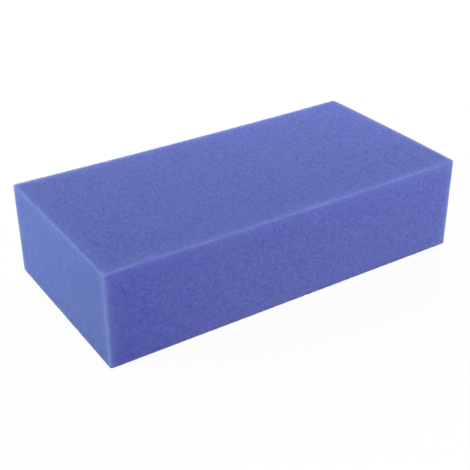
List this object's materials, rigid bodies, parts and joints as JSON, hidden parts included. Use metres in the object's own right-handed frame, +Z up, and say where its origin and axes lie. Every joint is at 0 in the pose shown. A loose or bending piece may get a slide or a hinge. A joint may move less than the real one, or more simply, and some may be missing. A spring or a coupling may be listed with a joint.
{
  "type": "grooming sponge",
  "caption": "Rectangular block of blue open-cell foam with slightly rounded edges, a hand-held sponge for washing and grooming.",
  "frame": {"origin": "middle of the flat base, on the surface that the block rests on", "axes": "+X along the length, +Y along the width, +Z up through the thickness"},
  "size_m": [0.2, 0.1, 0.0503],
  "materials": {
    "foam": "blue open-cell polyurethane foam, sawn, matt and finely pored"
  },
  "bodies": {
    "root": {"foam_block": "foam"}
  },
  "joints": []
}
